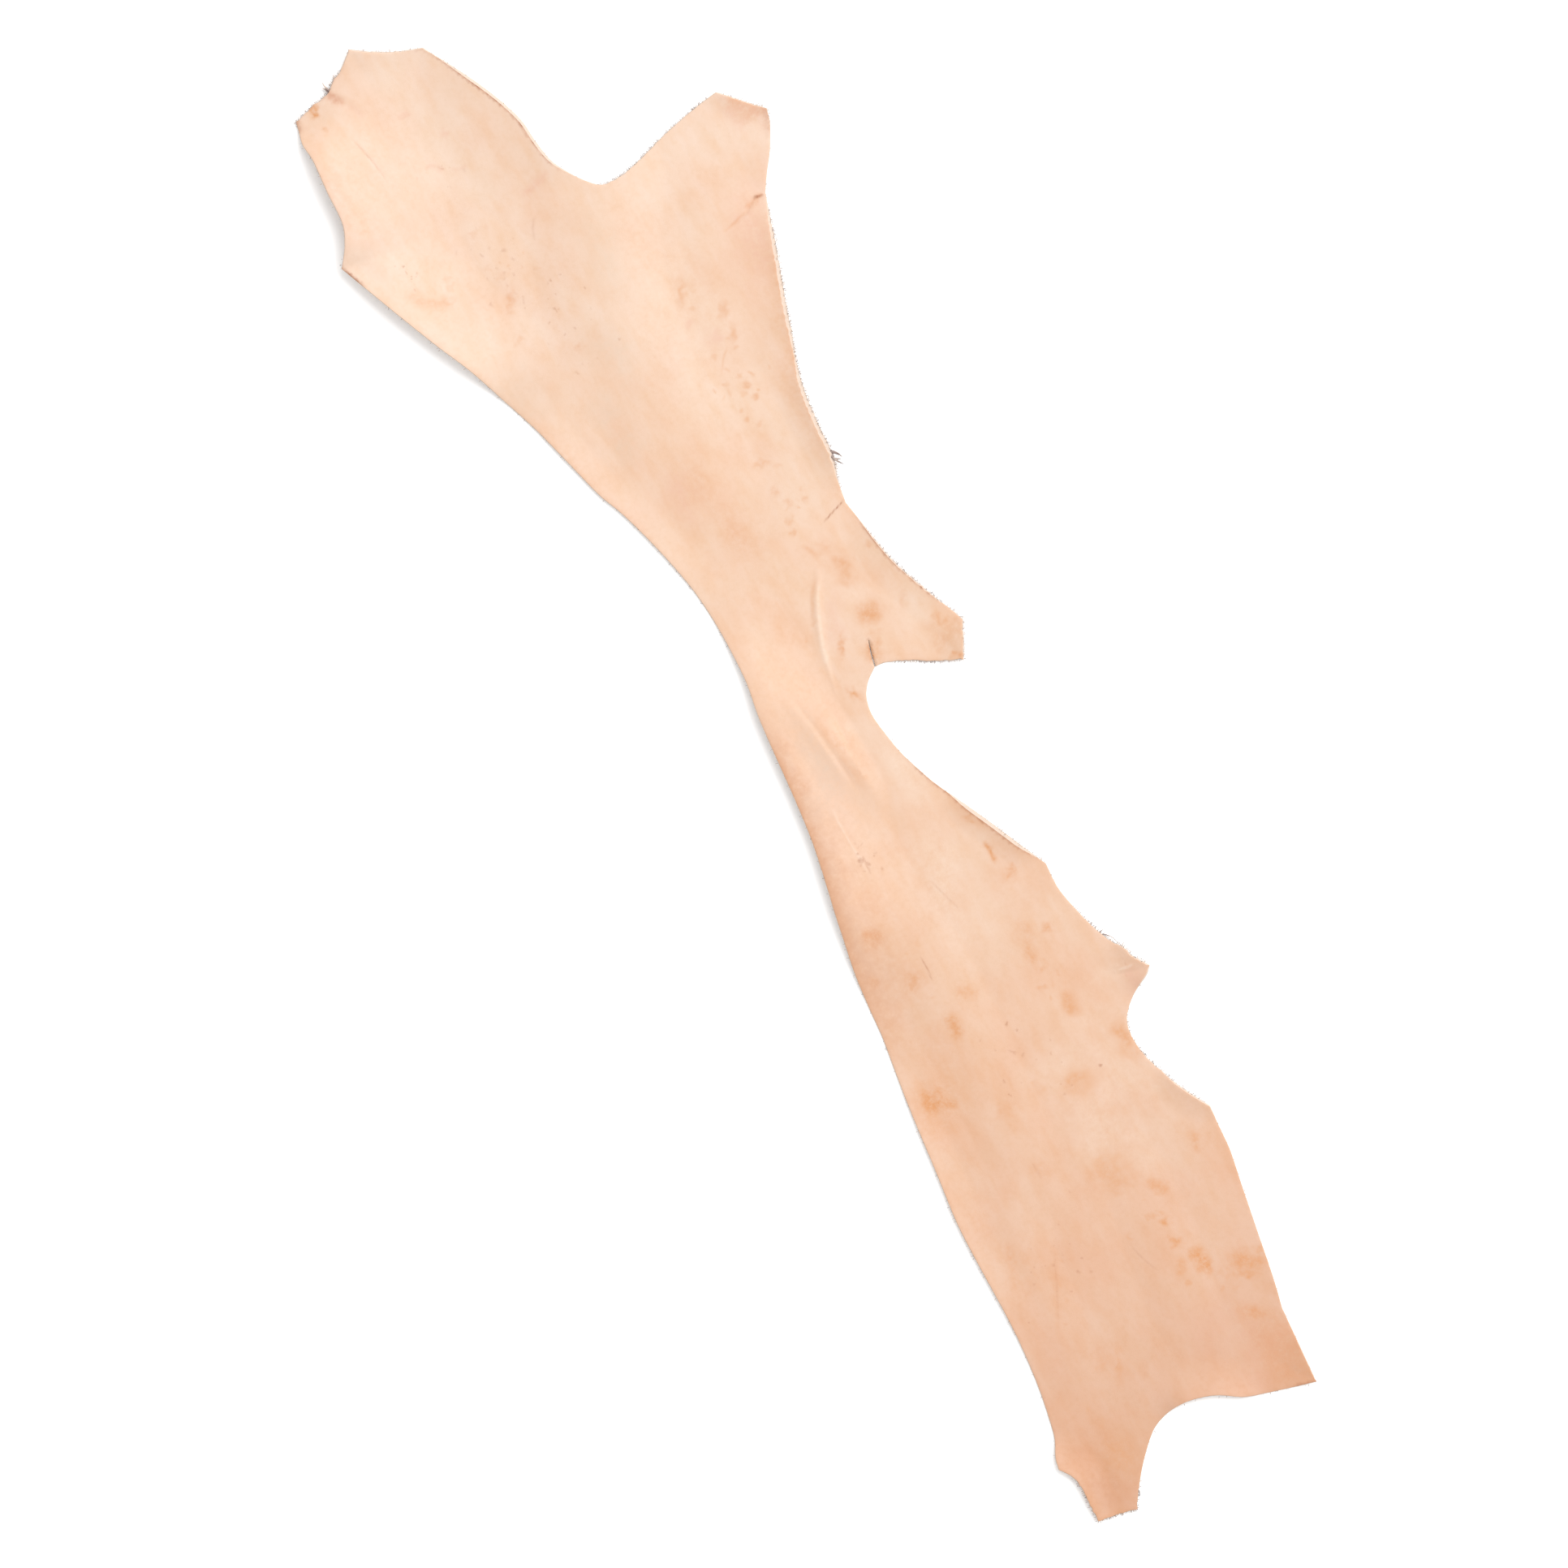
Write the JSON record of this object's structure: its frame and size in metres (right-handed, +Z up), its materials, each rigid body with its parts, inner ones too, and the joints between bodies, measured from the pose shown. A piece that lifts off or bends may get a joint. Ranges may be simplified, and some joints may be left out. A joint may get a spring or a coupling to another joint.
{
  "type": "leather belly",
  "caption": "One-piece cut of natural vegetable-tanned belly leather, laid flat, with a lobed wide end, a waist, a small flap, notches and a tab, its edges slightly curled.",
  "frame": {"origin": "centre of the hide's bounding box on the surface that it lies on", "axes": "+Y along the hide's length towards its wide lobed end, +X across it towards the flap and the notches, +Z up out of the grain side"},
  "size_m": [0.4976, 1.839, 0.0279],
  "materials": {
    "leather": "natural vegetable-tanned grain, undyed, dull waxed sheen"
  },
  "bodies": {
    "root": {"leather_belly": "leather"}
  },
  "joints": []
}
